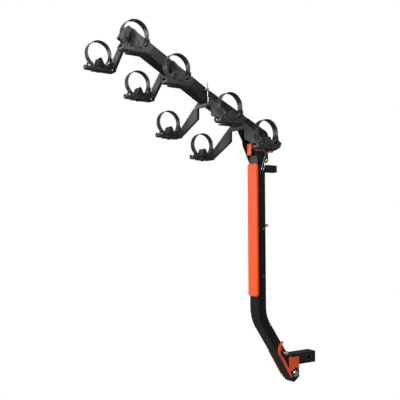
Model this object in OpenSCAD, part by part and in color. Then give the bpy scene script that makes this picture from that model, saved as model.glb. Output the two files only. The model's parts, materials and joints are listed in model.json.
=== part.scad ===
// Hitch mounted bike rack: tilting mast, folding two-piece arm, four pairs of strap cradles.
// Frame: origin at the centre of the hitch-pin hole in the shank, +Y towards the car,
// +Z up, X across the car. Millimetres.

/* [Shank and yoke] */
// Outside width of the square shank
shank_w = 50.8; // [50.8]
// Wall of the shank tube
shank_wall = 6; // [5:0.5:8]
// Length of the shank on the car side of the pin hole
shank_front = 40; // [35:1:60]
// Diameter of the hitch-pin hole
hitch_pin_d = 16; // [16]
// Thickness of the yoke side plates
yoke_t = 6; // [5:0.5:7]
// Gap between the yoke side plates
yoke_gap = 63; // [62:1:64]

/* [Mast] */
// Mast tube width, across the car
mast_w = 58.8; // [58:0.2:59.4]
// Mast tube depth, front to back
mast_d = 43.5; // [42:0.5:46]
// Wall of the mast tube
mast_wall = 3; // [2:0.5:4]
// Lean of the mast's lower part from the vertical, degrees
mast_lean = 34.5; // [32:0.5:36]
// Centre-line radius of the mast's bend
bend_r = 150; // [120:5:200]
// Height of the mast's top end
mast_top = 1030; // [1025:1:1033]

/* [Arm] */
// Width of both beams
beam_w = 61; // [61]
// Depth of both beams
beam_h = 48; // [46:1:50]
// Wall of both beams
beam_wall = 3; // [2.5:0.5:4]
// Slope of the inner beam above the horizontal, degrees
arm_slope = 25.9; // [25:0.1:27]
// Slope of the socket and the outer beam, degrees
tip_slope = 29; // [28:0.5:30]
// Inner beam length from the arm pivot to the kink
inner_len = 333.6; // [330:0.2:340]
// Socket length beyond the kink
socket_len = 103; // [95:1:110]
// Distance from the kink to the arm's tip
outer_len = 437.3; // [425:1:450]
// Length of the outer beam's tongue inside the socket
tongue_len = 90; // [70:1:92]
// Thickness of the two hub side plates
hub_t = 6; // [5:0.5:7]

/* [Cradles] */
// Outside radius of a strap loop
loop_r = 53.8; // [52:0.2:55]
// Width of a strap
strap_w = 30; // [26:0.5:31]
// Thickness of a strap
strap_t = 2.6; // [2:0.2:3.2]
// Width of a cradle body
cradle_w = 42; // [38:1:46]
// Half spacing of the two outer pairs of cradles
outer_half = 159.4; // [155:0.2:165]
// Half spacing of the two inner pairs of cradles
inner_half = 232.9; // [228:0.2:238]

/* [Hidden] */
$fn = 48;

frame_black = [0.16, 0.16, 0.17];
plastic_black = [0.1, 0.1, 0.1];
cradle_grey = [0.24, 0.22, 0.21];
bright_orange = [0.95, 0.36, 0.12];
zinc = [0.78, 0.79, 0.8];
cap_grey = [0.4, 0.4, 0.42];

run = 0.05;             // radial clearance of every running fit
cut = 1;                // overshoot of a cutting solid
pivot_y = -100;         // tilt pivot
pivot_z = -60;
lock_v = 126;           // tilt lock pin, measured up the mast from the pivot
bolt_r = 6;
bush_r = 8;
heel = 33;              // mast below the pivot
mast_y = -281;          // centre line of the upright part
plate_in = yoke_gap / 2;
plate_out = plate_in + yoke_t;
foot_run = (pivot_y - mast_y) / sin(mast_lean);
bend_tan = bend_r * tan(mast_lean / 2);
vertex_z = pivot_z + foot_run * cos(mast_lean);
bend_z = vertex_z + bend_tan;
mast_front = mast_y - mast_d / 2;
mast_back = mast_y + mast_d / 2;
web_u = mast_d / 2 + 1.5;   // yoke web, clear of the mast's back face
web_t = 6;

arm_y = -273;           // arm pivot
arm_z = 1013;
hub_in = beam_w / 2;
hub_out = hub_in + hub_t;
beam_up = 30;           // beam top above the arm pivot, square to the beam
beam_in = beam_w / 2 - beam_wall;
slack = 0.2;            // gap round the tongue
tongue_s = socket_len + 1 - tongue_len;

park = 14;              // travel of the two side lock pins
nose_x = mast_w / 2 + 0.4;
lock_y = -268;          // arm lock pin, just inside the back wall of the mast
lock_z = 943;
lock_r = 5;
snap_s = 24;            // snapper pin along and below the socket's top
snap_n = -14;
snap_r = 4;
snap_park = 12;
snap_nose = beam_in + 0.2;

wing_t = 3;
wing_flange = 12;
seat_v = -68;           // cradle seat below the loop centre
tab_t = 4;
knuckle_u = -27;        // strap hinge in the cradle
knuckle_v = -57;
buckle_u = 60;          // buckle hinge in the cradle
buckle_v = -44;
knuckle_r = 5.5;
pin_r = 2.5;
loop_y = [-987.7, -804.2, -606.8, -423.5];   // loop centres, tip pair first
loop_z = [1322.5, 1222.5, 1081.5, 992.3];
loop_x = [outer_half, outer_half, inner_half, inner_half];
wing_y = [-931.7, -748.2, -570, -393];       // front face of each wing's web

// Points of the side view, as [y, z]
function slope_pt(p, a, s, n) = [p[0] - s * cos(a) + n * sin(a), p[1] + s * sin(a) + n * cos(a)];
function arm_pt(s, n) = slope_pt([arm_y, arm_z], arm_slope, s, n);
kink = arm_pt(inner_len, beam_up);
function tip_pt(s, n) = slope_pt(kink, tip_slope, s, n);
mid_slope = (arm_slope + tip_slope) / 2;
function kink_pt(n) = slope_pt(kink, mid_slope, 0, n / cos((tip_slope - arm_slope) / 2));
function beam_under(y) = y > kink_pt(-beam_h)[0]
  ? kink_pt(-beam_h)[1] + (kink_pt(-beam_h)[0] - y) * tan(arm_slope)
  : kink_pt(-beam_h)[1] + (kink_pt(-beam_h)[0] - y) * tan(tip_slope);

// Side view space: x is the row's Y, y is its Z and z is its X
module side() { rotate([90, 0, 90]) children(); }
module slab(x0, x1) { translate([0, 0, x0]) linear_extrude(x1 - x0) children(); }
module rod(y, z, r, x0, x1, fn = 48) {
  translate([y, z, x0]) cylinder(r = r, h = x1 - x0, $fn = fn);
}
module both_sides() { children(); mirror([0, 0, 1]) children(); }
module at_pivot() { translate([pivot_y, pivot_z, 0]) rotate([0, 0, mast_lean]) children(); }
module round_rect(w, h, r) {
  square([w - 2 * r, h], center = true);
  square([w, h - 2 * r], center = true);
  for (x = [-1, 1], y = [-1, 1]) translate([x * (w / 2 - r), y * (h / 2 - r)]) circle(r);
}
module bar(p, q, w) {   // flat bar with round ends between two points of a plane
  d = q - p;
  l = norm(d);
  translate(p) rotate(atan2(d[1], d[0])) {
    translate([0, -w / 2]) square([l, w]);
    circle(w / 2);
    translate([l, 0]) circle(w / 2);
  }
}
module arc_band(r_in, r_out, a0, a1) {   // part of a ring, drawn in the plane
  intersection() {
    difference() { circle(r_out, $fn = 96); circle(r_in, $fn = 96); }
    polygon(concat([[0, 0]], [for (i = [0:8]) 3 * r_out * [cos(a0 + (a1 - a0) * i / 8),
                                                          sin(a0 + (a1 - a0) * i / 8)]]));
  }
}

// ---- receiver frame ----
module receiver_shank() {
  foot = web_u + web_t;
  color(frame_black) side() difference() {
    slab(-shank_w / 2, shank_w / 2)
      translate([pivot_y - 60, -shank_w / 2]) square([shank_front - pivot_y + 60, shank_w]);
    slab(shank_wall - shank_w / 2, shank_w / 2 - shank_wall)
      translate([pivot_y - 60 - cut, shank_wall - shank_w / 2])
        square([shank_front - pivot_y + 60 + 2 * cut, shank_w - 2 * shank_wall]);
    at_pivot() slab(-shank_w, shank_w) translate([foot - 200, -100]) square([200, 400]);
    rod(0, 0, hitch_pin_d / 2, -shank_w, shank_w);
  }
}

module shank_plug() {
  half = shank_w / 2 - shank_wall;
  color(plastic_black) side() slab(-half, half)
    translate([shank_front - 11, -half]) square([10, 2 * half]);
}

module yoke_profile() {
  band_w = 11;
  translate([pivot_y, pivot_z]) rotate(mast_lean) {
    circle(22);
    bar([-19, 2], [-15, 132], band_w);
    bar([-15, 132], [-6, 149], band_w);
    bar([-6, 149], [23, 163], band_w);
    translate([0, lock_v]) circle(15);
  }
  translate([-130, -46]) square([57, 59]);
}

module tilt_yoke() {
  color(bright_orange) side() difference() {
    union() {
      both_sides() slab(plate_in, plate_out) yoke_profile();
      both_sides() slab(shank_w / 2, plate_in) translate([-94, -24]) square([19, 34]);
      at_pivot() slab(-plate_in, plate_in) translate([web_u, 24]) square([web_t, 52]);
    }
    at_pivot() rod(0, 0, bolt_r, -60, 60);
    at_pivot() rod(0, lock_v, 9, -60, 60);
  }
}

module yoke_wear_pads() {
  color(plastic_black) side() at_pivot() both_sides() {
    difference() {
      rod(0, 0, 18, mast_w / 2 + 0.15, plate_in);
      rod(0, 0, bolt_r, 0, 60);
    }
    difference() {
      rod(0, lock_v, 14, mast_w / 2 + 0.15, plate_in);
      rod(0, lock_v, 9, 0, 60);
    }
  }
}

module pivot_keeper_plates() {
  color(plastic_black) side() at_pivot() both_sides() difference() {
    slab(plate_out, plate_out + 3)
      polygon([[-20, -24], [8, -27], [26, -6], [20, 18], [-16, 20]]);
    rod(0, 0, bolt_r, 0, 60);
  }
}

module pivot_bolt() {
  color(zinc) side() at_pivot() {
    rod(0, 0, bolt_r, -plate_out - 14, plate_out + 5);
    rod(0, 0, 14, plate_out + 3, plate_out + 5);
    rod(0, 0, 12.5, plate_out + 5, plate_out + 13, 6);
  }
}

module pivot_nut() {
  color(zinc) side() at_pivot() difference() {
    union() {
      rod(0, 0, 13, -plate_out - 5, -plate_out - 3);
      rod(0, 0, 11.5, -plate_out - 12, -plate_out - 5, 6);
    }
    rod(0, 0, bolt_r, -60, 0);
  }
}

module lock_bushes() {
  color(plastic_black) side() at_pivot() both_sides() difference() {
    union() {
      rod(0, lock_v, 9, mast_w / 2 + 0.15, plate_out);
      rod(0, lock_v, 13, plate_out, plate_out + 4);
    }
    rod(0, lock_v, bolt_r + run, 0, 60);
  }
}

// ---- mast ----
function foot_pt(u, v) = [pivot_y + u * cos(mast_lean) - v * sin(mast_lean),
                          pivot_z + u * sin(mast_lean) + v * cos(mast_lean)];
function bend_pt(r, a) = [mast_y + bend_r + r * cos(180 + a), bend_z + r * sin(180 + a)];
bend_steps = 12;
module mast_path(w, d, over) {   // the bent tube, w across and d deep, longer by over at both ends
  slab(-w / 2, w / 2) polygon(concat(
    [[mast_y - d / 2, mast_top + over]],
    [for (i = [0:bend_steps]) bend_pt(bend_r + d / 2, mast_lean * i / bend_steps)],
    [foot_pt(-d / 2, -heel - over), foot_pt(d / 2, -heel - over)],
    [for (i = [bend_steps:-1:0]) bend_pt(bend_r - d / 2, mast_lean * i / bend_steps)],
    [[mast_y + d / 2, mast_top + over]]));
}

module mast_tube() {
  color(frame_black) side() difference() {
    mast_path(mast_w, mast_d, 0);
    mast_path(mast_w - 2 * mast_wall, mast_d - 2 * mast_wall, cut);
    at_pivot() rod(0, 0, bush_r, -40, 40);
    at_pivot() rod(0, lock_v, bolt_r + 0.4, -40, 40);
    rod(arm_y, arm_z, bush_r, -40, 40);
    rod(lock_y, lock_z, lock_r + 0.4, 20, 40);
  }
}

module mast_cover() {   // plastic guard on the side away from the car
  lip_x = mast_w / 2 + 0.1;
  color(bright_orange) difference() {
    side() difference() {
      slab(-lip_x - 2.4, lip_x + 2.4)
        translate([mast_front - 8, 300]) square([9.5, 590]);
      slab(-lip_x, lip_x) translate([mast_front, 299]) square([20, 592]);
      slab(3 - lip_x, lip_x - 3) translate([mast_front - 4.5, 306]) square([20, 578]);
    }
    for (x = [-1, 1], z = [300, 890])
      translate([x * (lip_x + 2.4), mast_front, z]) rotate([0, 45, 0]) cube([9, 60, 9], center = true);
  }
}

module mast_rivets() {
  color(zinc) side() {
    for (p = [[-271, 598], [-272, 386]]) rivet(p[0], p[1]);
    rivet(-239, 168);
  }
}
module rivet(y, z) {
  both_sides() rod(y, z, 4, mast_w / 2, mast_w / 2 + 2);
}

module mast_end_plugs() {
  color(plastic_black) side() {
    at_pivot() translate([0, -heel - 3, 0]) rotate([-90, 0, 0])
      linear_extrude(3) round_rect(mast_d - 1, mast_w - 1, 3);
    translate([mast_y, mast_top - 6, 0]) rotate([-90, 0, 0])
      linear_extrude(7) round_rect(mast_d - 2 * mast_wall, mast_w - 2 * mast_wall, 2);
  }
}

module stub_bar() {
  color(frame_black) side() difference() {
    translate([mast_back, 871.5, 0]) rotate([0, 90, 0]) linear_extrude(81) round_rect(33, 33, 3);
    translate([mast_back - cut, 871.5, 0]) rotate([0, 90, 0]) linear_extrude(84) round_rect(28, 28, 1);
  }
}

module stub_plug() {
  color(plastic_black) side() translate([mast_back + 73, 871.5, 0]) rotate([0, 90, 0])
    linear_extrude(7) round_rect(28, 28, 1);
}

module cable_tab() {
  color(bright_orange) side() difference() {
    slab(16, 20) bar([mast_back, 614], [mast_back + 20, 614], 12);
    slab(10, 30) translate([mast_back - 20, 600]) square([20, 30]);
    rod(mast_back + 19, 614, 3.5, 10, 30);
  }
}

module mast_bushes() {   // for the tilt pivot bolt and the arm bolt
  color(plastic_black) side() for (p = [[pivot_y, pivot_z], [arm_y, arm_z]]) difference() {
    rod(p[0], p[1], bush_r, -mast_w / 2, mast_w / 2);
    rod(p[0], p[1], bolt_r + run, -60, 60);
  }
}

lever_y = mast_front - 8;
lever_z = 972;
module lever_bracket() {   // saddle on the mast's front face with the lever's pin in it
  color(frame_black) side() {
    difference() {
      for (x = [[-29.2, -26.2], [2.2, 5.2]]) slab(x[0], x[1]) {
        translate([lever_y, lever_z]) circle(6);
        translate([lever_y, lever_z - 6]) square([8, 12]);
      }
      rod(lever_y, lever_z, 3, -40, 40);
    }
    rod(lever_y, lever_z, 3, -29.9, 6);
  }
}

// ---- arm ----
module hub_profile() {
  difference() {
    union() {
      polygon([[-246.5, 1002], [-246.5, 905], [-256, 893], [-290, 893], [-299, 900], [-335, 973],
               [-338, 995], arm_pt(90, -beam_h + beam_up), arm_pt(112, beam_up - 2),
               arm_pt(6, beam_up - 2)]);
      translate([arm_y, arm_z]) circle(28.5, $fn = 96);
    }
    translate([arm_y, arm_z]) circle(bolt_r);
    translate([lock_y, lock_z]) circle(8);
  }
}
module hub_plates() {
  color(frame_black) side() both_sides() slab(hub_in, hub_out) hub_profile();
}

module arm_bolt() {
  color(frame_black) side() {
    rod(arm_y, arm_z, bolt_r, -hub_out - 13, hub_out + 5);
    rod(arm_y, arm_z, 13, hub_out, hub_out + 2);
    rod(arm_y, arm_z, 11.5, hub_out + 2, hub_out + 9, 6);
  }
}

module arm_nut() {
  color(frame_black) side() difference() {
    union() {
      rod(arm_y, arm_z, 13, -hub_out - 2, -hub_out);
      rod(arm_y, arm_z, 11.5, -hub_out - 10, -hub_out - 2, 6);
    }
    rod(arm_y, arm_z, bolt_r, -60, 0);
  }
}

module arm_lock_bush() {
  color(plastic_black) side() both_sides() difference() {
    union() {
      rod(lock_y, lock_z, 8, hub_in, hub_out);
      rod(lock_y, lock_z, 11, hub_out, hub_out + 2.5);
    }
    rod(lock_y, lock_z, lock_r + run, 0, 60);
  }
}

module inner_beam() {
  color(frame_black) side() difference() {
    slab(-beam_w / 2, beam_w / 2)
      polygon([arm_pt(50, beam_up), kink, tip_pt(socket_len, 0), tip_pt(socket_len, -beam_h),
               kink_pt(-beam_h), arm_pt(110, beam_up - beam_h)]);
    slab(-beam_in, beam_in)
      polygon([arm_pt(20, beam_up - beam_wall), kink_pt(-beam_wall),
               tip_pt(socket_len + 9, -beam_wall), tip_pt(socket_len + 9, beam_wall - beam_h),
               kink_pt(beam_wall - beam_h), arm_pt(60, beam_up - beam_h + beam_wall)]);
    rod(tip_pt(snap_s, snap_n)[0], tip_pt(snap_s, snap_n)[1], snap_r + run, -60, 60);
    for (s = [22, 56]) tip_hole(s, 3, -10, 2);
  }
}
module tip_hole(s, r, n0, n1) {   // along the socket's normal, on its centre line
  p = tip_pt(s, n0);
  translate([p[0], p[1], 0]) rotate([0, 0, -tip_slope]) rotate([-90, 0, 0]) cylinder(r = r, h = n1 - n0);
}
module socket_screws() {
  color(plastic_black) side() for (s = [22, 56]) {
    tip_hole(s, 3, -beam_wall, 0);
    tip_hole(s, 7, 0, 7);
  }
}

// Wing pressing: web in the X-Z plane at y0, flanges towards +Y
module wing(i, x_end, z_near, z_far, x1, z_corner) {
  zb = beam_under(wing_y[i]);
  zt = loop_z[i] + seat_v - tab_t;
  x0 = beam_w / 2;
  top = [[x0, zb + z_near], [x_end, zb + z_far]];
  low = [[x1, zb - z_corner], [x_end, zt]];
  color(frame_black) {
    translate([0, wing_y[i] + wing_t, 0]) rotate([90, 0, 0]) linear_extrude(wing_t)
      for (m = [0, 1]) mirror([m, 0]) polygon([[0, zb - 1.7], [x0, zb - 1.7], top[0], top[1], low[1],
                                               low[0], [x1, zb - 18], [0, zb - 18]]);
    translate([0, wing_y[i] + wing_flange, 0]) rotate([90, 0, 0]) linear_extrude(wing_flange)
      for (m = [0, 1]) mirror([m, 0]) {
        polygon([top[0], top[1], top[1] - [0, 3.6], top[0] - [0, 3.6]]);
        polygon([low[0], low[1], low[1] + [0, 3.6], low[0] + [0, 3.6]]);
        polygon([low[0], [x1, zb - 15], [x1 + 3, zb - 15], [x1 + 3, zb - z_corner]]);
      }
    translate([-x1 - 1, wing_y[i], zb - 18]) cube([2 * x1 + 2, wing_flange - 6, 3]);
    difference() {
      for (m = [0, 1]) mirror([m, 0, 0]) {
        translate([x_end - 8, loop_y[i] - 26, zt])
          cube([loop_x[i] + 18 - x_end + 8, wing_y[i] + wing_flange - loop_y[i] + 26, tab_t]);
        translate([x_end - wing_t, wing_y[i], zt]) cube([wing_t, wing_flange, zb + z_far - zt - 1]);
      }
      for (x = [-1, 1]) translate([x * loop_x[i], loop_y[i], zt - 1]) cylinder(r = 3, h = 9);
    }
  }
}
module wing_1() { wing(0, 137, 53, -32, 62, 20); }
module wing_2() { wing(1, 137, 53, -32, 62, 20); }
module wing_3() { wing(2, 200, 22, -95, 52, 62); }
module wing_4() { wing(3, 200, 22, -95, 52, 62); }

// Moulded cradle in its own side view, loop centre at [0, 0]
ear = [-47, -55];   // eye for the strap's tail, on the cheek nearer to the beam
module cradle_profile() {
  polygon([[-50, seat_v], [48, seat_v], [61, -58], [63, -50], [57, -33], [52, -31],
           [46, -42], [32, -48], [20, -44], [10, -24], [3, -19], [-3, -22], [-12, -50],
           [-24, -56], [-34, -52], [-52, -47], [-56, -52], [-56, -63]]);
  translate([buckle_u, buckle_v]) circle(7);
  translate([3, -24]) circle(6);
}
module cradle() {
  half = cradle_w / 2;
  slot = strap_w / 2 + 0.6;
  side() difference() {
    union() {
      slab(-half, half) difference() {
        cradle_profile();
        translate([32, -32]) circle(15.5);
      }
      rod(ear[0], ear[1], 12.5, -half, -slot - 1);
    }
    slab(-slot, slot) {
      translate([knuckle_u, knuckle_v]) circle(knuckle_r + 0.7);
      polygon([[knuckle_u + 6.2, knuckle_v], [knuckle_u + 6.2, -20], [-80, -20], [-80, -57],
               [-40, -57], [knuckle_u, knuckle_v - 6.2]]);
    }
    slab(-9.6, 9.6) {
      translate([buckle_u, buckle_v]) circle(knuckle_r + 0.7);
      translate([buckle_u - 6.2, buckle_v]) square([20, 30]);
      translate([buckle_u, buckle_v - 9]) square([20, 30]);
    }
    rod(ear[0], ear[1], 5, -half - cut, -slot + cut);
    rod(knuckle_u, knuckle_v, pin_r, -20, 20);
    rod(buckle_u, buckle_v, pin_r, -15, 15);
    both_sides() slab(half - 2, half + cut) translate([-14, -64]) square([36, 12]);
    translate([0, seat_v - cut, 0]) rotate([-90, 0, 0]) cylinder(r = 3, h = 13);
  }
}
module cradles(i) {
  color(cradle_grey) for (side = [0, 1]) mirror([side, 0, 0])
    translate([loop_x[i], loop_y[i], loop_z[i]]) cradle();
}
module cradles_1() { cradles(0); }
module cradles_2() { cradles(1); }
module cradles_3() { cradles(2); }
module cradles_4() { cradles(3); }

module cradle_bolts(pairs) {
  color(frame_black) for (i = pairs, x = [-1, 1])
    translate([x * loop_x[i], loop_y[i], loop_z[i] + seat_v - tab_t]) {
      translate([0, 0, -5]) cylinder(r = 6, h = 5, $fn = 6);
      cylinder(r = 3, h = tab_t + 11);
    }
}
module outer_cradle_bolts() { cradle_bolts([0, 1]); }
module inner_cradle_bolts() { cradle_bolts([2, 3]); }

module cradle_pins(pairs) {
  color(zinc) for (i = pairs, x = [-1, 1]) translate([x * loop_x[i], loop_y[i], loop_z[i]]) side() {
    rod(knuckle_u, knuckle_v, pin_r, -19.5, 19.5);
    rod(buckle_u, buckle_v, pin_r, -14.5, 14.5);
  }
}
module outer_cradle_pins() { cradle_pins([0, 1]); }
module inner_cradle_pins() { cradle_pins([2, 3]); }

module strap(i, x) {
  color(plastic_black) translate([x * loop_x[i], loop_y[i], loop_z[i]]) side() difference() {
    slab(-strap_w / 2, strap_w / 2) {
      difference() {
        union() {
          arc_band(loop_r - strap_t, loop_r, -26, 238);
          bar((loop_r - strap_t / 2) * [cos(238), sin(238)], [knuckle_u, knuckle_v], 4);
          translate([knuckle_u, knuckle_v]) circle(knuckle_r);
        }
        translate([knuckle_u, knuckle_v]) circle(pin_r + run);
      }
    }
    translate([-6, loop_r - 6, -3.5]) cube([12, 12, 7]);
  }
}
module strap_1_left() { strap(0, -1); }
module strap_1_right() { strap(0, 1); }
module strap_2_left() { strap(1, -1); }
module strap_2_right() { strap(1, 1); }
module strap_3_left() { strap(2, -1); }
module strap_3_right() { strap(2, 1); }
module strap_4_left() { strap(3, -1); }
module strap_4_right() { strap(3, 1); }

module buckle_lever() {
  side() difference() {
    union() {
      rod(buckle_u, buckle_v, knuckle_r, -9, 9);
      slab(-9, 9) polygon([[buckle_u - 4.5, buckle_v + 2], [buckle_u - 4, -14], [buckle_u, -9],
                           [buckle_u + 1, -14], [buckle_u + 3, buckle_v + 4],
                           [buckle_u + 3, buckle_v]]);
    }
    rod(buckle_u, buckle_v, pin_r + run, -20, 20);
  }
}
module buckle(i, x) {
  color(cap_grey) translate([x * loop_x[i], loop_y[i], loop_z[i]]) buckle_lever();
}
module buckle_1_left() { buckle(0, -1); }
module buckle_1_right() { buckle(0, 1); }
module buckle_2_left() { buckle(1, -1); }
module buckle_2_right() { buckle(1, 1); }
module buckle_3_left() { buckle(2, -1); }
module buckle_3_right() { buckle(2, 1); }
module buckle_4_left() { buckle(3, -1); }
module buckle_4_right() { buckle(3, 1); }

// ---- outer arm ----
module tip_box(s0, s1, n0, n1, half) {
  slab(-half, half) polygon([tip_pt(s0, n0), tip_pt(s1, n0), tip_pt(s1, n1), tip_pt(s0, n1)]);
}
module outer_beam() {
  s0 = socket_len + 1;
  collar = s0 + 6;
  top = -beam_wall - slack;
  low = beam_wall + slack - beam_h;
  color(frame_black) side() difference() {
    union() {
      tip_box(s0, outer_len, 0, -beam_h, beam_w / 2);
      tip_box(tongue_s, s0, top, low, beam_in - slack);
    }
    tip_box(collar, outer_len + cut, -beam_wall, beam_wall - beam_h, beam_in);
    tip_box(tongue_s - cut, collar + cut, top - 3, low + 3, beam_in - slack - 3);
    rod(tip_pt(snap_s, snap_n)[0], tip_pt(snap_s, snap_n)[1], snap_r + 0.4, -60, 60);
  }
}
module beam_end_cap() {
  color(cap_grey) side() {
    tip_box(outer_len, outer_len + 3, 0, -beam_h, beam_w / 2);
    tip_box(outer_len - 9, outer_len, -beam_wall, beam_wall - beam_h, beam_in);
  }
}

// ---- lock pins, stored drawn out by their travel ----
module tilt_lock_pin() {
  head = plate_out + 4 + 0.5 + park;
  color(zinc) side() at_pivot() {
    rod(0, lock_v, bolt_r, nose_x, head);
    rod(0, lock_v, 8.5, head, head + 12);
    rod(0, lock_v, 6, head + 12, head + 14);
  }
}
module arm_lock_pin() {
  color(zinc) side() {
    rod(lock_y, lock_z, lock_r, nose_x, hub_out + park + 36);
    rod(lock_y, lock_z, 8, hub_out + park + 3, hub_out + park + 4.5);
  }
}
module arm_lock_knob() {
  color(bright_orange) side() difference() {
    rod(lock_y, lock_z, 9, hub_out + park + 22, hub_out + park + 40);
    rod(lock_y, lock_z, lock_r, 0, hub_out + park + 36);
  }
}
module hub_hairpin() {   // spring clip hanging from the arm lock pin
  wire = 3.6;
  x = hub_out + park + 8;
  gap = 6;
  drop = 84;
  color(zinc) side() translate([lock_y, lock_z, 0]) rotate([0, 0, -20])
    slab(x - wire / 2, x + wire / 2) {
      difference() { circle(lock_r + 0.4 + wire); circle(lock_r + 0.4); }
      bar([-gap, -5], [-gap, -drop], wire);
      translate([0, -drop]) arc_band(gap - wire / 2, gap + wire / 2, 180, 360);
      bar([gap, -drop], [gap + 1, -drop + 18], wire);
      bar([gap + 1, -drop + 18], [gap - 4, -drop + 32], wire);
      bar([gap - 4, -drop + 32], [gap + 2, -drop + 48], wire);
    }
}
module snapper_pin() {
  p = tip_pt(snap_s, snap_n);
  out = beam_w / 2 + snap_park;
  color(zinc) side() {
    rod(p[0], p[1], snap_r, snap_nose, out + 1);
    rod(p[0], p[1], 7, out + 1, out + 4);
    rod(p[0], p[1], 3, out + 4, out + 12);
    rod(p[0], p[1], 6, out + 12, out + 14);
  }
}
module snapper_bail() {   // wire keeper that swings under the socket
  p = tip_pt(snap_s, snap_n);
  wire = 4;
  x_right = beam_w / 2 + snap_park + 8;
  x_left = -beam_w / 2 - 5;
  right_end = p + [7, -58];
  left_end = p - [9, 70];
  across = [left_end[0] - right_end[0], left_end[1] - right_end[1], x_left - x_right];
  color(zinc) side() {
    slab(x_right - wire / 2, x_right + wire / 2) {
      difference() { translate(p) circle(3.4 + wire); translate(p) circle(3.4); }
      bar(p + [3, 5], p + [1, 30], wire);
      bar(p + [3, -5], right_end, wire);
    }
    slab(x_left - wire / 2, x_left + wire / 2) {
      bar(left_end, p + [-14, -40], wire);
      bar(p + [-14, -40], p + [-20, -12], wire);
    }
    translate([right_end[0], right_end[1], x_right])
      rotate([0, acos(across[2] / norm(across)), atan2(across[1], across[0])])
        cylinder(r = wire / 2 - 0.2, h = norm(across));
  }
}
module release_lever() {
  color(bright_orange) side() difference() {
    slab(-25.8, 1.8) {
      translate([lever_y, lever_z]) circle(5.4);
      translate([lever_y - 5.4, lever_z - 38]) square([4, 38]);
      translate([lever_y - 5.4, lever_z]) square([4, 9]);
      bar([lever_y - 3.4, lever_z - 38], [lever_y - 6, lever_z - 42], 4);
    }
    rod(lever_y, lever_z, 3 + run, -60, 60);
  }
}

receiver_shank();
shank_plug();
tilt_yoke();
yoke_wear_pads();
pivot_bolt();
pivot_nut();
pivot_keeper_plates();
lock_bushes();
mast_tube();
mast_cover();
mast_rivets();
mast_end_plugs();
stub_bar();
stub_plug();
cable_tab();
mast_bushes();
lever_bracket();
hub_plates();
arm_bolt();
arm_nut();
arm_lock_bush();
inner_beam();
socket_screws();
wing_3();
wing_4();
cradles_3();
cradles_4();
inner_cradle_bolts();
inner_cradle_pins();
outer_beam();
beam_end_cap();
wing_1();
wing_2();
cradles_1();
cradles_2();
outer_cradle_bolts();
outer_cradle_pins();
tilt_lock_pin();
arm_lock_pin();
arm_lock_knob();
hub_hairpin();
snapper_pin();
snapper_bail();
release_lever();
strap_1_left();
strap_1_right();
strap_2_left();
strap_2_right();
strap_3_left();
strap_3_right();
strap_4_left();
strap_4_right();
buckle_1_left();
buckle_1_right();
buckle_2_left();
buckle_2_right();
buckle_3_left();
buckle_3_right();
buckle_4_left();
buckle_4_right();
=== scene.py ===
"""Hitch mounted bike rack: materials, strap and clip detail, studio and camera, in metres."""

import json
import math
from math import cos, pi, radians, sin

import bmesh
import bpy
from mathutils import Matrix, Vector


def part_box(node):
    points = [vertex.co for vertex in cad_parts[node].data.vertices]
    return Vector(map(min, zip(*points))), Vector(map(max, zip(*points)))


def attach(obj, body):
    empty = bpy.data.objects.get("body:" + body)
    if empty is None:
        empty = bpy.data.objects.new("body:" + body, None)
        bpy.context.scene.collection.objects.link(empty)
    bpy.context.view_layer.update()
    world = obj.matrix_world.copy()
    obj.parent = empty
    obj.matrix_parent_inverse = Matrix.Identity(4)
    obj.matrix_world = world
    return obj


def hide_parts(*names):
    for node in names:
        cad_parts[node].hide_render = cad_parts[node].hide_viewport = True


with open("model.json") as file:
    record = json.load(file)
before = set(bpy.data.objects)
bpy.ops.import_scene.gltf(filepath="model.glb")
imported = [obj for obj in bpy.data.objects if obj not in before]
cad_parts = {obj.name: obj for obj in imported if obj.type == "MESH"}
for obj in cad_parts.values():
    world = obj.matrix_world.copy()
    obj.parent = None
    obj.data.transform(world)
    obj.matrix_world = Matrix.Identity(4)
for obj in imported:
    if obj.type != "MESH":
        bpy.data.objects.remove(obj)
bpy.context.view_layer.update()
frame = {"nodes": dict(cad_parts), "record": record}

MM = 0.001
PAIRS = (1, 2, 3, 4)
SIDES = ("left", "right")
CARRIER = {1: "outer_arm", 2: "outer_arm", 3: "arm", 4: "arm"}  # body that holds each pair of cradles
LOOP_R = 53.8 * MM  # outside of a strap loop
STRAP_BASE = 51.2 * MM  # inside of a strap loop
KNUCKLE = Vector((-27 * MM, -57 * MM))  # strap hinge from the loop's centre, in Y and Z
SHARP = radians(32)  # edges that turn more than this stay sharp

# ---------- materials ----------
DUST = (0.2, 0.2, 0.2)
COAT_ROUGH = 0.25
GRAIN_DEPTH = 0.0004
DUST_FROM, DUST_FULL = 0.45, 0.8  # noise values between which the dust comes in
DUST_FINER, ROUGH_FINER = 3.7, 2.3  # than the mottling
EDGE_ANGLE = radians(35)  # CAD edges that turn more than this are rounded
MIX_A, MIX_B, MIX_OUT = 6, 7, 2  # colour sockets of the Mix node


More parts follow.
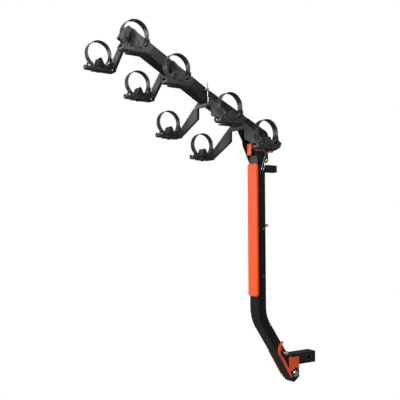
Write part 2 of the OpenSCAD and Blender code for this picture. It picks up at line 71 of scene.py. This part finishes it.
def material(name, color, rough, metallic=0.0, coat=0.0, specular=0.5, bevel=0.0,
             mottle=0.0, mottle_scale=40.0, bump=0.0, bump_scale=600.0, rough_var=0.0, dust=0.0):
    """A procedural surface: colour mottling, roughness variation, fine grain and rounded edges."""
    mat = bpy.data.materials.new(name)
    mat.use_nodes = True
    nodes, links = mat.node_tree.nodes, mat.node_tree.links
    bsdf = nodes["Principled BSDF"]
    bsdf.inputs["Metallic"].default_value = metallic
    bsdf.inputs["Coat Weight"].default_value = coat
    bsdf.inputs["Coat Roughness"].default_value = COAT_ROUGH
    bsdf.inputs["Specular IOR Level"].default_value = specular
    bsdf.inputs["Roughness"].default_value = rough
    bsdf.inputs["Base Color"].default_value = (*color, 1)
    coord = nodes.new("ShaderNodeTexCoord")

    def noise(scale, detail=4.0):
        n = nodes.new("ShaderNodeTexNoise")
        n.inputs["Scale"].default_value = scale
        n.inputs["Detail"].default_value = detail
        links.new(coord.outputs["Object"], n.inputs["Vector"])
        return n.outputs["Fac"]

    if mottle or dust:
        base = nodes.new("ShaderNodeMix")
        base.data_type = "RGBA"
        base.inputs[MIX_A].default_value = (*[c * (1 - mottle) for c in color], 1)
        base.inputs[MIX_B].default_value = (*[min(1, c * (1 + mottle)) for c in color], 1)
        links.new(noise(mottle_scale), base.inputs["Factor"])
        out = base.outputs[MIX_OUT]
        if dust:
            ramp = nodes.new("ShaderNodeMapRange")
            ramp.inputs["From Min"].default_value = DUST_FROM
            ramp.inputs["From Max"].default_value = DUST_FULL
            ramp.inputs["To Max"].default_value = dust
            links.new(noise(mottle_scale * DUST_FINER, 8), ramp.inputs["Value"])
            over = nodes.new("ShaderNodeMix")
            over.data_type = "RGBA"
            over.inputs[MIX_B].default_value = (*DUST, 1)
            links.new(out, over.inputs[MIX_A])
            links.new(ramp.outputs["Result"], over.inputs["Factor"])
            out = over.outputs[MIX_OUT]
        links.new(out, bsdf.inputs["Base Color"])
    if rough_var:
        spread = nodes.new("ShaderNodeMapRange")
        spread.inputs["To Min"].default_value = max(0.02, rough - rough_var)
        spread.inputs["To Max"].default_value = min(1, rough + rough_var)
        links.new(noise(mottle_scale * ROUGH_FINER), spread.inputs["Value"])
        links.new(spread.outputs["Result"], bsdf.inputs["Roughness"])
    normal = None
    if bevel:
        edge = nodes.new("ShaderNodeBevel")
        edge.samples = 6
        edge.inputs["Radius"].default_value = bevel
        normal = edge.outputs["Normal"]
    if bump:
        grain = nodes.new("ShaderNodeBump")
        grain.inputs["Strength"].default_value = bump
        grain.inputs["Distance"].default_value = GRAIN_DEPTH
        links.new(noise(bump_scale, 3), grain.inputs["Height"])
        if normal:
            links.new(normal, grain.inputs["Normal"])
        normal = grain.outputs["Normal"]
    if normal:
        links.new(normal, bsdf.inputs["Normal"])
    return mat


POWDER = material("black_powder_coat", (0.0082, 0.0074, 0.0070), 0.34, coat=0.08, specular=0.36, bevel=0.0022,
                  mottle=0.12, rough_var=0.07, bump=0.22, bump_scale=900, dust=0.02)
# wing coat: the frame's black powder coat painted lighter, as painted light for the light the wings' front
# faces catch
WING_PAINTED_LIGHT = material("wing_coat_painted_light", (0.020, 0.020, 0.021), 0.42, specular=0.5, bevel=0.0015,
                mottle=0.12, rough_var=0.07, bump=0.22, bump_scale=900, dust=0.02)
SHANK = material("shank_coat", (0.012, 0.012, 0.0122), 0.42, specular=0.45, bevel=0.003,
                 mottle=0.1, rough_var=0.06, bump=0.2, bump_scale=900, dust=0.02)
ORANGE = material("orange_powder_coat", (1.0, 0.125, 0.024), 0.42, coat=0.15, bevel=0.0015,
                  mottle=0.05, rough_var=0.06, bump=0.14, bump_scale=900)
GUARD = material("orange_guard", (1.0, 0.112, 0.026), 0.5, specular=0.35, bevel=0.0025,
                 mottle=0.04, rough_var=0.05, bump=0.2, bump_scale=1400)
ZINC = material("zinc_steel", (0.72, 0.72, 0.74), 0.26, metallic=1.0, bevel=0.0006,
                mottle=0.06, rough_var=0.08, bump=0.06, bump_scale=1500)
YELLOW_ZINC = material("yellow_zinc", (0.62, 0.55, 0.26), 0.32, metallic=1.0, bevel=0.0005,
                       mottle=0.1, rough_var=0.08, bump=0.06, bump_scale=1500)
KEEPER = material("keeper_coat", (0.006, 0.006, 0.0065), 0.5, specular=0.25, bevel=0.001,
                  mottle=0.1, rough_var=0.06, bump=0.2, bump_scale=900)
BLACK = material("black_plastic", (0.009, 0.009, 0.010), 0.45, specular=0.4, bevel=0.0008,
                 mottle=0.1, rough_var=0.05, bump=0.2, bump_scale=1500)
CRADLE = material("cradle_plastic", (0.030, 0.027, 0.025), 0.36, specular=0.6, bevel=0.0014,
                  mottle=0.14, rough_var=0.08, bump=0.25, bump_scale=1300, dust=0.02)
# strap rubber painted light grey: a painted highlight for the sheen the liner catches from above
TONGUE_PAINTED_SHEEN = material("strap_tongue_painted_sheen", (0.12, 0.12, 0.125), 0.38, specular=0.6, bevel=0.0006,
                  mottle=0.1, rough_var=0.06, bump=0.2, bump_scale=1500)
STRAP = material("strap_rubber", (0.018, 0.018, 0.019), 0.36, specular=0.55, bevel=0.0003,
                 mottle=0.1, rough_var=0.06, bump=0.08, bump_scale=1800)
BUCKLE_GREY = material("buckle_plastic", (0.10, 0.10, 0.105), 0.45, bevel=0.0008,
                       mottle=0.08, rough_var=0.05, bump=0.2, bump_scale=1500)
CAP = material("cap_plastic", (0.085, 0.085, 0.09), 0.5, bevel=0.0015,
               mottle=0.08, rough_var=0.05, bump=0.2, bump_scale=1500)

BY_SLOT = {"frame_paint": POWDER, "orange_paint": ORANGE, "orange_plastic": GUARD,
           "zinc_steel": ZINC, "black_plastic": BLACK, "cradle_plastic": CRADLE,
           "strap_rubber": STRAP, "buckle_plastic": BUCKLE_GREY, "cap_plastic": CAP}
# the wings take the coat painted lighter, as painted light
BY_NODE = {"receiver_shank": SHANK, "wing_1": WING_PAINTED_LIGHT, "wing_2": WING_PAINTED_LIGHT, "wing_3": WING_PAINTED_LIGHT, "wing_4": WING_PAINTED_LIGHT,
           "arm_bolt": BLACK, "arm_nut": BLACK, "mast_rivets": YELLOW_ZINC,
           "pivot_keeper_plates": KEEPER}
for part in frame["record"]["subparts"]:
    mesh = frame["nodes"][part["node"]].data
    mesh.materials.clear()
    mesh.materials.append(BY_NODE.get(part["node"], BY_SLOT[part["material_slot"]]))


def soften(node, width):
    """Rounds a CAD node's sharp edges."""
    mod = frame["nodes"][node].modifiers.new("edges", "BEVEL")
    mod.width = width
    mod.segments = 2
    mod.limit_method = "ANGLE"
    mod.angle_limit = EDGE_ANGLE


# ---------- mesh code ----------
def piece(name, verts, faces, mat, body):
    """A finished piece that moves with a body."""
    mesh = bpy.data.meshes.new(name)
    mesh.from_pydata([tuple(v) for v in verts], [], faces)
    bm = bmesh.new()
    bm.from_mesh(mesh)
    bmesh.ops.recalc_face_normals(bm, faces=bm.faces)
    bm.to_mesh(mesh)
    bm.free()
    mesh.shade_smooth()
    mesh.set_sharp_from_angle(angle=SHARP)
    mesh.materials.append(mat)
    obj = bpy.data.objects.new(name, mesh)
    bpy.context.scene.collection.objects.link(obj)
    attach(obj, body)
    return obj


def circle(middle, radius, count):
    """Points round a circle."""
    return [(middle[0] + radius * cos(t * 2 * pi / count), middle[1] + radius * sin(t * 2 * pi / count))
            for t in range(count)]


def add_prism(verts, faces, outline, x0, x1):
    """A solid with the (y, z) outline, from x0 to x1."""
    n, base = len(outline), len(verts)
    verts += [(x0, y, z) for y, z in outline] + [(x1, y, z) for y, z in outline]
    faces += [tuple(base + i for i in range(n)), tuple(base + n + i for i in reversed(range(n)))]
    faces += [(base + i, base + (i + 1) % n, base + n + (i + 1) % n, base + n + i) for i in range(n)]


def add_wire(verts, faces, points, radius, sides=12, closed=False):
    """A round wire through the points."""
    points = [Vector(p) for p in points]
    count, base = len(points), len(verts)
    up = None
    for i, p in enumerate(points):
        a = points[(i - 1) % count] if closed or i else p
        b = points[(i + 1) % count] if closed or i < count - 1 else p
        t = (b - a).normalized()
        if up is None:
            up = t.orthogonal().normalized()
        up = (up - t * up.dot(t)).normalized()
        side = t.cross(up)
        verts += [p + radius * (up * cos(k * 2 * pi / sides) + side * sin(k * 2 * pi / sides))
                  for k in range(sides)]
    rings = count if closed else count - 1
    for i in range(rings):
        for k in range(sides):
            a, b = base + i * sides, base + ((i + 1) % count) * sides
            faces.append((a + k, a + (k + 1) % sides, b + (k + 1) % sides, b + k))
    if not closed:
        faces.append(tuple(base + k for k in reversed(range(sides))))
        faces.append(tuple(base + (count - 1) * sides + k for k in range(sides)))


def rounded(points, radius, steps=6):
    """The route with each inner corner turned into an arc of about that radius."""
    points = [Vector(p) for p in points]
    out = [points[0]]
    for a, b, c in zip(points, points[1:], points[2:]):
        r = min(radius, (b - a).length * 0.45, (c - b).length * 0.45)
        p, q = b + (a - b).normalized() * r, b + (c - b).normalized() * r
        for i in range(steps + 1):
            t = i / steps
            out.append(p * (1 - t) ** 2 + b * 2 * t * (1 - t) + q * t ** 2)
    out.append(points[-1])
    return out


def loop_centre(pair, side):
    """Centre of a strap loop, from the CAD strap's box."""
    low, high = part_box(f"strap_{pair}_{side}")
    return Vector(((low[0] + high[0]) / 2, low[1] + LOOP_R, high[2] - LOOP_R))


# ---------- straps ----------
STRAP_START, STRAP_END = radians(-26), radians(238)  # round the loop, from +Y
RIB_PITCH, RIB_DEPTH = 2.9 * MM, 0.75 * MM
RIB_STEPS = (0.0, 0.0, 1.0, 1.0)  # how deep each step of a rib's pitch is cut
PLAIN_END = 6 * MM  # no ribs this near to an end
PLAIN_DROP = 0.1 * MM  # of the plain stretches below the rails
EDGE, RAIL, RAIL_SLOPE = 0.4 * MM, 2.4 * MM, 0.2 * MM  # bevelled edge, rail beside the ribs and its flank
SLOT_HALF_LENGTH, SLOT_HALF_WIDTH = 5.8 * MM, 3.5 * MM  # slot at the top of the loop
SLOT_MARGIN = 0.05  # radians beyond each end of the slot that have no ribs
SLOT_TOP, SLOT_BASE = 5, 13  # sides of the ring that the slot opens
TAIL_R, TAIL_HALF = 52.5 * MM, 1.8 * MM  # middle of the strap, half its thickness
KNUCKLE_R = 5.4 * MM


def strap_ring(half, r):
    """Cross-section as (x, radius) points; its ribbed middle lies at radius r."""
    edge, rail = half - EDGE, half - RAIL
    return [(-half, STRAP_BASE + EDGE), (-half, LOOP_R - EDGE), (-edge, LOOP_R),
            (-rail, LOOP_R), (-rail + RAIL_SLOPE, r), (-SLOT_HALF_WIDTH, r), (SLOT_HALF_WIDTH, r),
            (rail - RAIL_SLOPE, r), (rail, LOOP_R), (edge, LOOP_R), (half, LOOP_R - EDGE),
            (half, STRAP_BASE + EDGE), (edge, STRAP_BASE), (SLOT_HALF_WIDTH, STRAP_BASE),
            (-SLOT_HALF_WIDTH, STRAP_BASE), (-edge, STRAP_BASE)]


def strap_band(verts, faces, centre, half):
    """The ribbed band round the loop, with its slot."""
    sweep = STRAP_END - STRAP_START
    count = int(sweep * LOOP_R / RIB_PITCH) * len(RIB_STEPS)
    slot_a = math.asin(SLOT_HALF_LENGTH / LOOP_R)
    for i in range(count + 1):
        a = STRAP_START + sweep * i / count
        margin = min(abs(a - STRAP_START), abs(a - STRAP_END)) * LOOP_R
        ribbed = margin > PLAIN_END and abs(a - pi / 2) >= slot_a + SLOT_MARGIN
        drop = RIB_DEPTH * RIB_STEPS[i % len(RIB_STEPS)] if ribbed else PLAIN_DROP
        verts += [(centre.x + x, centre.y + q * cos(a), centre.z + q * sin(a))
                  for x, q in strap_ring(half, LOOP_R - drop)]
    n = len(verts) // (count + 1)
    in_slot = [abs(STRAP_START + sweep * (i + 0.5) / count - pi / 2) < slot_a for i in range(count)]
    for i in range(count):
        for k in range(n):
            if not (in_slot[i] and k in (SLOT_TOP, SLOT_BASE)):
                faces.append((i * n + k, i * n + (k + 1) % n, (i + 1) * n + (k + 1) % n, (i + 1) * n + k))
        if in_slot[i]:
            for p, q in ((SLOT_TOP, SLOT_BASE + 1), (SLOT_TOP + 1, SLOT_BASE)):
                faces.append((i * n + p, i * n + q, (i + 1) * n + q, (i + 1) * n + p))
            for j, other in ((i, i - 1), (i + 1, i + 1)):
                if not in_slot[min(max(other, 0), count - 1)]:
                    faces.append((j * n + SLOT_TOP, j * n + SLOT_TOP + 1,
                                  j * n + SLOT_BASE, j * n + SLOT_BASE + 1))
    faces.append(tuple(reversed(range(n))))
    faces.append(tuple(count * n + k for k in range(n)))


def strap_tail(verts, faces, centre, half):
    """Tail from the loop's end to the hinge, and the hinge's knuckle."""
    middle = Vector((centre.y, centre.z))
    hinge = middle + KNUCKLE
    root = middle + TAIL_R * Vector((cos(STRAP_END), sin(STRAP_END)))
    way = (hinge - root).normalized()
    across = Vector((-way.y, way.x)) * TAIL_HALF
    overlap = way * MM
    tail = [root + across - overlap, root - across - overlap, hinge - across, hinge + across]
    for outline in (tail, circle(hinge, KNUCKLE_R, 28)):
        add_prism(verts, faces, outline, centre.x - half, centre.x + half)


def strap(pair, side):
    """Ribbed strap loop with its tail and knuckle."""
    low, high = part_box(f"strap_{pair}_{side}")
    centre, half = loop_centre(pair, side), (high[0] - low[0]) / 2
    verts, faces = [], []
    strap_band(verts, faces, centre, half)
    strap_tail(verts, faces, centre, half)
    obj = piece(f"ribbed_strap_{pair}_{side}", verts, faces, STRAP, f"strap_{pair}_{side}")
    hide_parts(f"strap_{pair}_{side}")


# ---------- cradles ----------
RIB_IN, RIB_OUT = 18.9 * MM, 20.9 * MM  # X span of a rib, from the loop's centre
RIBS, RIB_GAP, RIB_HALF = 4, 9 * MM, 0.9 * MM
RIB_FIRST = -9.5 * MM  # Y of the first rib, from the loop's centre
RIB_LOW, RIB_HIGH = 64 * MM, 52 * MM  # below the loop's centre
TONGUE_OUT, TONGUE_IN, TONGUE_HALF = 53.4 * MM, 50.6 * MM, 13 * MM  # radii and half width
TONGUE_START, TONGUE_SWEEP = -28, -40  # degrees
TONGUE_STEPS, GROOVE_STEPS, GROOVE_DEPTH = 36, 3, 0.5 * MM


def cradle_ribs(pair, side):
    """Moulded ribs in the cradle's side recesses."""
    c = loop_centre(pair, side)
    verts, faces = [], []
    for face in (-1, 1):
        x0, x1 = sorted((c.x + face * RIB_IN, c.x + face * RIB_OUT))
        for k in range(RIBS):
            y = c.y + RIB_FIRST + RIB_GAP * k
            low, high = c.z - RIB_LOW, c.z - RIB_HIGH
            add_prism(verts, faces, [(y - RIB_HALF, low), (y + RIB_HALF, low),
                                     (y + RIB_HALF, high), (y - RIB_HALF, high)], x0, x1)
    obj = piece(f"cradle_ribs_{pair}_{side}", verts, faces, CRADLE, CARRIER[pair])


def strap_tongue_painted_sheen(pair, side):
    """Grooved tongue that carries the loop on down into the cradle, its strap rubber painted light grey as a
    painted highlight.
    """
    c = loop_centre(pair, side)
    verts, faces = [], []
    outside, inside = [], []
    for i in range(TONGUE_STEPS + 1):
        a = radians(TONGUE_START + TONGUE_SWEEP * i / TONGUE_STEPS)
        inner = TONGUE_IN + (GROOVE_DEPTH if (i // GROOVE_STEPS) % 2 else 0)
        outside.append((c.y + TONGUE_OUT * cos(a), c.z + TONGUE_OUT * sin(a)))
        inside.append((c.y + inner * cos(a), c.z + inner * sin(a)))
    add_prism(verts, faces, outside + inside[::-1], c.x - TONGUE_HALF, c.x + TONGUE_HALF)
    obj = piece(f"strap_tongue_{pair}_{side}", verts, faces, TONGUE_PAINTED_SHEEN, CARRIER[pair])


for pair in PAIRS:
    soften(f"cradles_{pair}", 1.2 * MM)
    for side in SIDES:
        strap(pair, side)
        cradle_ribs(pair, side)
        strap_tongue_painted_sheen(pair, side)
        soften(f"buckle_{pair}_{side}", 0.8 * MM)

# ---------- clips ----------
LOCK_PIN = Vector((-0.268, 0.943))  # axis of the arm lock pin, in Y and Z
SNAPPER = Vector((-0.5878, 1.1849))  # axis of the snapper pin, in Y and Z
CLIP_BEND = 9 * MM  # radius of the wires' bends
COIL_POINTS = 24


def hairpin():
    """R-shaped spring clip on the arm lock pin."""
    low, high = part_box("hub_hairpin")
    x = (low[0] + high[0]) / 2
    tilt = radians(-20)
    wire, coil_r, half, drop = 1.75 * MM, 7.15 * MM, 6 * MM, 84 * MM

    def at(u, v):
        """A point u across the clip and v up it."""
        return (x, LOCK_PIN.x + u * cos(tilt) - v * sin(tilt), LOCK_PIN.y + u * sin(tilt) + v * cos(tilt))

    verts, faces = [], []
    add_wire(verts, faces, [at(u, v) for u, v in circle((0, 0), coil_r, COIL_POINTS)], wire, closed=True)
    leg = [at(-half, -4 * MM), at(-half, -drop + 2 * MM)]
    foot = [at(half * cos(pi + t * pi / 10), -drop + half * sin(pi + t * pi / 10)) for t in range(11)]
    free = rounded([at(half, -drop + 2 * MM), at(half + 1 * MM, -drop + 18 * MM),
                    at(half - 4 * MM, -drop + 32 * MM), at(half + 2 * MM, -drop + 48 * MM)], CLIP_BEND)
    add_wire(verts, faces, leg + foot + free, wire)
    obj = piece("hub_hairpin_wire", verts, faces, ZINC, "hub_hairpin")
    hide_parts("hub_hairpin")


def bail():
    """Round wire keeper of the snapper pin."""
    low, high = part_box("snapper_bail")
    wire, coil_r = 1.9 * MM, 5.4 * MM
    xr, xl = high[0] - 2 * MM, low[0] + 2 * MM

    def at(x, y, z):
        """A point at x, and y and z in mm from the snapper pin's axis."""
        return (x, SNAPPER.x + y * MM, SNAPPER.y + z * MM)

    verts, faces = [], []
    coil = [(xr, y, z) for y, z in circle(SNAPPER, coil_r, COIL_POINTS)]
    add_wire(verts, faces, coil, wire, closed=True)
    add_wire(verts, faces, [at(xr, 3, 5), at(xr, 1, 30)], wire)
    route = rounded([at(xr, 3, -5), at(xr, 7, -58), at(xl, -9, -70), at(xl, -14, -40), at(xl, -20, -12)],
                    CLIP_BEND)
    add_wire(verts, faces, route, wire)
    obj = piece("snapper_bail_wire", verts, faces, ZINC, "snapper_bail")
    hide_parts("snapper_bail")


hairpin()
bail()

# ---------- weld beads ----------
# front face of each wing, from the front of its seat tabs, and how far its bead runs down
WING_FRONT = {1: 82 * MM, 2: 82 * MM, 3: 62.8 * MM, 4: 56.5 * MM}
WELD_REACH = {1: 50 * MM, 2: 50 * MM, 3: 19 * MM, 4: 19 * MM}
WING_WELD_X, WING_WELD_R = 31 * MM, 2.2 * MM
STUB_WELD_R = 2.4 * MM
BEAD_PITCH, BEAD_SIDES, RIPPLE_STEPS, RIPPLE = 1.1 * MM, 8, 3, 0.2


def bead(name, points, radius, body, closed=False):
    """A rippled weld bead along straight runs between the points."""
    points = [Vector(p) for p in points]
    route = []
    for a, b in zip(points, points[1:] + points[:1] if closed else points[1:]):
        steps = max(2, round((b - a).length / BEAD_PITCH))
        route += [a.lerp(b, i / steps) for i in range(steps)]
    if not closed:
        route.append(points[-1])
    verts, faces = [], []
    add_wire(verts, faces, route, radius, BEAD_SIDES, closed)
    for i, centre in enumerate(route):
        ripple = 1 - RIPPLE + RIPPLE * cos(i * 2 * pi / RIPPLE_STEPS)
        for k in range(i * BEAD_SIDES, (i + 1) * BEAD_SIDES):
            verts[k] = centre + (Vector(verts[k]) - centre) * ripple
    obj = piece(name, verts, faces, POWDER, body)


def welds():
    """Beads where the wings meet the beams and the stub bar meets the mast."""
    for pair in PAIRS:
        low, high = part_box(f"wing_{pair}")
        y = low[1] + WING_FRONT[pair]
        for side, sign in zip(SIDES, (-1, 1)):
            x = sign * WING_WELD_X
            bead(f"wing_weld_{pair}_{side}", [(x, y, high[2] - 2 * MM), (x, y, high[2] - WELD_REACH[pair])],
                 WING_WELD_R, CARRIER[pair])
    low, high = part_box("stub_bar")
    y, x0, x1, z0, z1 = low[1] + MM, low[0], high[0], low[2], high[2]
    loop = [(x0 + MM, y, z0), (x1 - MM, y, z0), (x1, y, z0 + MM), (x1, y, z1 - MM),
            (x1 - MM, y, z1), (x0 + MM, y, z1), (x0, y, z1 - MM), (x0, y, z0 + MM)]
    bead("stub_weld", loop, STUB_WELD_R, "mast", closed=True)


welds()

# ---------- studio ----------
FILL = 0.12  # light from all round
FLOOR_Z, FLOOR_HALF = -0.16, 30.0
FLOOR_GREY = (0.2, 0.2, 0.2)  # what the floor throws back at the rack; the camera sees it white
WHITE = (1, 1, 1, 1)


def white_to_camera(nodes, links, surface, output, background):
    """Shows plain white to the camera, and the given surface to every other ray."""
    white = nodes.new("ShaderNodeBackground" if background else "ShaderNodeEmission")
    white.inputs["Color"].default_value = WHITE
    rays = nodes.new("ShaderNodeLightPath")
    pick = nodes.new("ShaderNodeMixShader")
    links.new(rays.outputs["Is Camera Ray"], pick.inputs["Fac"])
    links.new(surface, pick.inputs[1])
    links.new(white.outputs[0], pick.inputs[2])
    links.new(pick.outputs[0], output.inputs["Surface"])


def soft_box(name, place, look, size, power):
    """A rectangular lamp at place, turned to the point look."""
    data = bpy.data.lights.new(name, "AREA")
    data.shape = "RECTANGLE"
    data.size, data.size_y = size
    data.energy = power
    lamp = bpy.data.objects.new(name, data)
    lamp.location = place
    lamp.rotation_euler = (Vector(look) - Vector(place)).to_track_quat("-Z", "Y").to_euler()
    bpy.context.scene.collection.objects.link(lamp)


def studio():
    """Pale floor and backdrop, weak fill and five soft boxes."""
    mesh = bpy.data.meshes.new("floor")
    corners = ((-1, -1), (1, -1), (1, 1), (-1, 1))
    mesh.from_pydata([(x * FLOOR_HALF, y * FLOOR_HALF, FLOOR_Z) for x, y in corners], [], [(0, 1, 2, 3)])
    floor = bpy.data.objects.new("floor", mesh)
    bpy.context.scene.collection.objects.link(floor)
    pale = bpy.data.materials.new("pale_floor")
    pale.use_nodes = True
    nodes, links = pale.node_tree.nodes, pale.node_tree.links
    paint = nodes["Principled BSDF"]
    paint.inputs["Base Color"].default_value = (*FLOOR_GREY, 1)
    paint.inputs["Roughness"].default_value = 0.95
    white_to_camera(nodes, links, paint.outputs[0], nodes["Material Output"], False)
    mesh.materials.append(pale)
    world = bpy.data.worlds.new("studio")
    bpy.context.scene.world = world
    world.use_nodes = True
    nodes, links = world.node_tree.nodes, world.node_tree.links
    shade = nodes["Background"]
    shade.inputs["Color"].default_value = WHITE
    shade.inputs["Strength"].default_value = FILL
    white_to_camera(nodes, links, shade.outputs[0], nodes["World Output"], True)
    soft_box("key", (-2.4, -3.0, 1.5), (0, -0.5, 0.8), (1.2, 2.0), 34)
    soft_box("front", (0.6, -3.6, 1.4), (0, -0.3, 0.5), (1.0, 1.6), 92)
    soft_box("side", (3.6, 0.4, 3.0), (0, -0.6, 1.1), (1.6, 0.8), 42)
    soft_box("rim", (1.2, 2.6, 2.2), (0, -0.4, 0.9), (0.8, 2.0), 18)
    soft_box("top", (0.2, -0.6, 3.4), (0, -0.5, 0.8), (1.6, 1.6), 40)


# ---------- camera ----------
AZIMUTH, PITCH, ROLL = radians(56.2), radians(2.43), radians(-0.23)
CAMERA_PLACE = (2.208, -2.0695, 0.6092)
LENS, SENSOR = 56.66, 36  # mm


def camera():
    """Camera at the photograph's viewing angle."""
    ahead = Vector((-sin(AZIMUTH) * cos(PITCH), cos(AZIMUTH) * cos(PITCH), sin(PITCH)))
    right = Vector((cos(AZIMUTH), sin(AZIMUTH), 0))
    up = right.cross(ahead)
    right, up = right * cos(ROLL) + up * sin(ROLL), up * cos(ROLL) - right * sin(ROLL)
    data = bpy.data.cameras.new("camera")
    data.lens = LENS
    data.sensor_width = SENSOR
    cam = bpy.data.objects.new("camera", data)
    turn = Matrix((right, up, -ahead)).transposed().to_4x4()
    cam.matrix_world = Matrix.Translation(CAMERA_PLACE) @ turn
    bpy.context.scene.collection.objects.link(cam)
    bpy.context.scene.camera = cam
    bpy.context.scene.view_settings.view_transform = "Standard"


studio()
camera()
